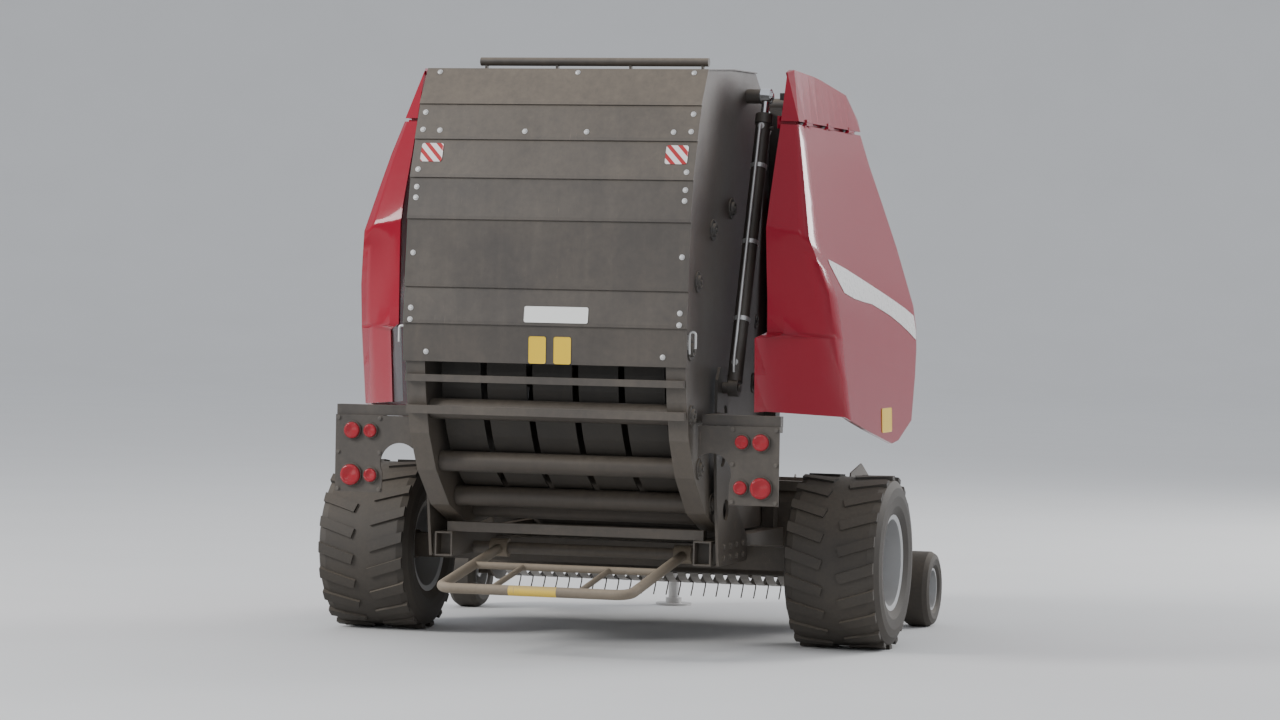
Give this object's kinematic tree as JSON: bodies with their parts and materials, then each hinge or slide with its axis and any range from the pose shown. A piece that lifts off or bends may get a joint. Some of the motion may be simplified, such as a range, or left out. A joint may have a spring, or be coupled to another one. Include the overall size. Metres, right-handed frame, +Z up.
{
  "type": "round baler",
  "caption": "Pull-type round baler with belts in a tall chamber, lifting tailgate, hinged side doors, tined pickup, drawbar, drive shaft and parking stand.",
  "frame": {"origin": "on the ground, in the middle of the machine's length and width", "axes": "+X towards the drawbar, +Y to the left wheel, +Z up"},
  "size_m": [4.265, 2.936, 2.9109],
  "materials": {
    "frame_paint": "satin dark grey paint, dusty",
    "gate_paint": "satin black paint, dusty",
    "cover_red": "gloss moulded red",
    "stripe_white": "gloss white",
    "zinc": "zinc plated",
    "belt_rubber": "textured belt",
    "tyre": "matte tyre rubber",
    "rim_silver": "silver paint",
    "rod_chrome": "hard chrome",
    "lamp_red": "moulded lens",
    "guard_black": "matte black",
    "net": "woven net",
    "chain_steel": "oiled steel",
    "band_steel": "worn zinc plate",
    "roller_steel": "dark steel, polished by the belts",
    "plate_yellow": "bare yellow plates and bands",
    "cast": "painted casting"
  },
  "bodies": {
    "chassis": {"main_frame": "frame_paint", "rear_outriggers": "frame_paint", "chamber_walls": "gate_paint", "chamber_rollers": "roller_steel", "front_belts": "belt_rubber", "top_frame": "frame_paint", "drawbar": "frame_paint", "rotor_housing": "gate_paint", "wrap_housing": "gate_paint", "net_roll": "net", "gearbox": "cast", "drive_sprockets": "chain_steel", "drive_chain": "chain_steel", "pto_guard": "guard_black", "jack_tube": "frame_paint", "light_boards": "frame_paint", "lamps": "lamp_red", "cover_caps": "cover_red"},
    "tailgate": {"tailgate_frame": "gate_paint", "tailgate_sheets": "gate_paint", "tailgate_bars": "zinc", "tailgate_rollers": "roller_steel", "tailgate_belts": "belt_rubber"},
    "wheel_left": {"tyre_left": "tyre", "rim_left": "rim_silver"},
    "wheel_right": {"tyre_right": "tyre", "rim_right": "rim_silver"},
    "door_left": {"side_door_left": "cover_red", "door_stripe_left": "stripe_white"},
    "door_right": {"side_door_right": "cover_red", "door_stripe_right": "stripe_white"},
    "lid": {"wrap_lid": "cover_red"},
    "pto": {"pto_shaft": "chain_steel"},
    "jack": {"jack_leg": "zinc"},
    "pickup": {"pickup_frame": "frame_paint", "pickup_bands": "band_steel", "pickup_chain": "chain_steel"},
    "reel": {"pickup_reel": "chain_steel"},
    "gauge_left": {"gauge_tyre_left": "tyre", "gauge_rim_left": "rim_silver"},
    "gauge_right": {"gauge_tyre_right": "tyre", "gauge_rim_right": "rim_silver"},
    "windguard": {"windguard": "frame_paint"},
    "rotor": {"feed_rotor": "chain_steel", "feed_augers": "chain_steel"},
    "kicker": {"bale_kicker": "frame_paint"},
    "barrel_left": {"ram_barrel_left": "frame_paint"},
    "barrel_right": {"ram_barrel_right": "frame_paint"},
    "rod_left": {"ram_rod_left": "rod_chrome"},
    "rod_right": {"ram_rod_right": "rod_chrome"}
  },
  "joints": [
    {"name": "wheel_left_spin", "type": "hinge", "parent": "chassis", "child": "wheel_left", "pos_m": [-0.7725, 1.223, 0.433], "axis": [0, 1, 0], "continuous": true},
    {"name": "wheel_right_spin", "type": "hinge", "parent": "chassis", "child": "wheel_right", "pos_m": [-0.7725, -1.223, 0.433], "axis": [0, 1, 0], "continuous": true},
    {"name": "tailgate_lift", "type": "hinge", "parent": "chassis", "child": "tailgate", "pos_m": [-0.4725, 0, 2.6], "axis": [0, 1, 0], "range_deg": [0, 55]},
    {"name": "barrel_left_swing", "type": "hinge", "parent": "chassis", "child": "barrel_left", "pos_m": [-1.4725, 0.8, 1.3], "axis": [0, 1, 0], "range_deg": [0, 5.68]},
    {"name": "barrel_right_swing", "type": "hinge", "parent": "chassis", "child": "barrel_right", "pos_m": [-1.4725, -0.8, 1.3], "axis": [0, 1, 0], "range_deg": [0, 5.68]},
    {"name": "rod_left_slide", "type": "slide", "parent": "barrel_left", "child": "rod_left", "axis": [0.328, 0, 0.9447], "range_m": [0, 0.4482]},
    {"name": "rod_right_slide", "type": "slide", "parent": "barrel_right", "child": "rod_right", "axis": [0.328, 0, 0.9447], "range_m": [0, 0.4482]},
    {"name": "door_left_lift", "type": "hinge", "parent": "chassis", "child": "door_left", "pos_m": [-0.5925, 1.034, 2.599], "axis": [1, 0, 0], "range_deg": [0, 75]},
    {"name": "door_right_lift", "type": "hinge", "parent": "chassis", "child": "door_right", "pos_m": [-0.5925, -1.034, 2.599], "axis": [-1, 0, 0], "range_deg": [0, 75]},
    {"name": "lid_lift", "type": "hinge", "parent": "chassis", "child": "lid", "pos_m": [-0.0825, 0, 2.262], "axis": [0, -1, 0], "range_deg": [0, 70]},
    {"name": "pto_spin", "type": "hinge", "parent": "chassis", "child": "pto", "pos_m": [0.3975, 0, 1.15], "axis": [0.9851, 0, -0.1722], "continuous": true},
    {"name": "jack_slide", "type": "slide", "parent": "chassis", "child": "jack", "axis": [0, 0, 1], "range_m": [0, 0.3]},
    {"name": "pickup_lift", "type": "hinge", "parent": "chassis", "child": "pickup", "pos_m": [0.1475, 0, 0.62], "axis": [0, -1, 0], "range_deg": [0, 12]},
    {"name": "reel_spin", "type": "hinge", "parent": "pickup", "child": "reel", "pos_m": [0.6475, 0, 0.36], "axis": [0, 1, 0], "continuous": true},
    {"name": "gauge_left_spin", "type": "hinge", "parent": "pickup", "child": "gauge_left", "pos_m": [0.6875, 1.27, 0.2], "axis": [0, 1, 0], "continuous": true},
    {"name": "gauge_right_spin", "type": "hinge", "parent": "pickup", "child": "gauge_right", "pos_m": [0.6875, -1.27, 0.2], "axis": [0, 1, 0], "continuous": true},
    {"name": "windguard_lift", "type": "hinge", "parent": "pickup", "child": "windguard", "pos_m": [0.3625, 0, 0.69], "axis": [0, -1, 0], "range_deg": [0, 6]},
    {"name": "rotor_spin", "type": "hinge", "parent": "chassis", "child": "rotor", "pos_m": [0.1475, 0, 0.62], "axis": [0, 1, 0], "continuous": true},
    {"name": "kicker_lift", "type": "hinge", "parent": "chassis", "child": "kicker", "pos_m": [-1.1725, 0, 0.46], "axis": [0, 1, 0], "range_deg": [0, 20]}
  ],
  "couplings": [
    {"joint": "barrel_left_swing", "follows": "tailgate_lift", "ratio": 0.10317},
    {"joint": "barrel_right_swing", "follows": "tailgate_lift", "ratio": 0.10317},
    {"joint": "rod_left_slide", "follows": "tailgate_lift", "m_per_rad": 0.46642},
    {"joint": "rod_right_slide", "follows": "tailgate_lift", "m_per_rad": 0.46642}
  ]
}
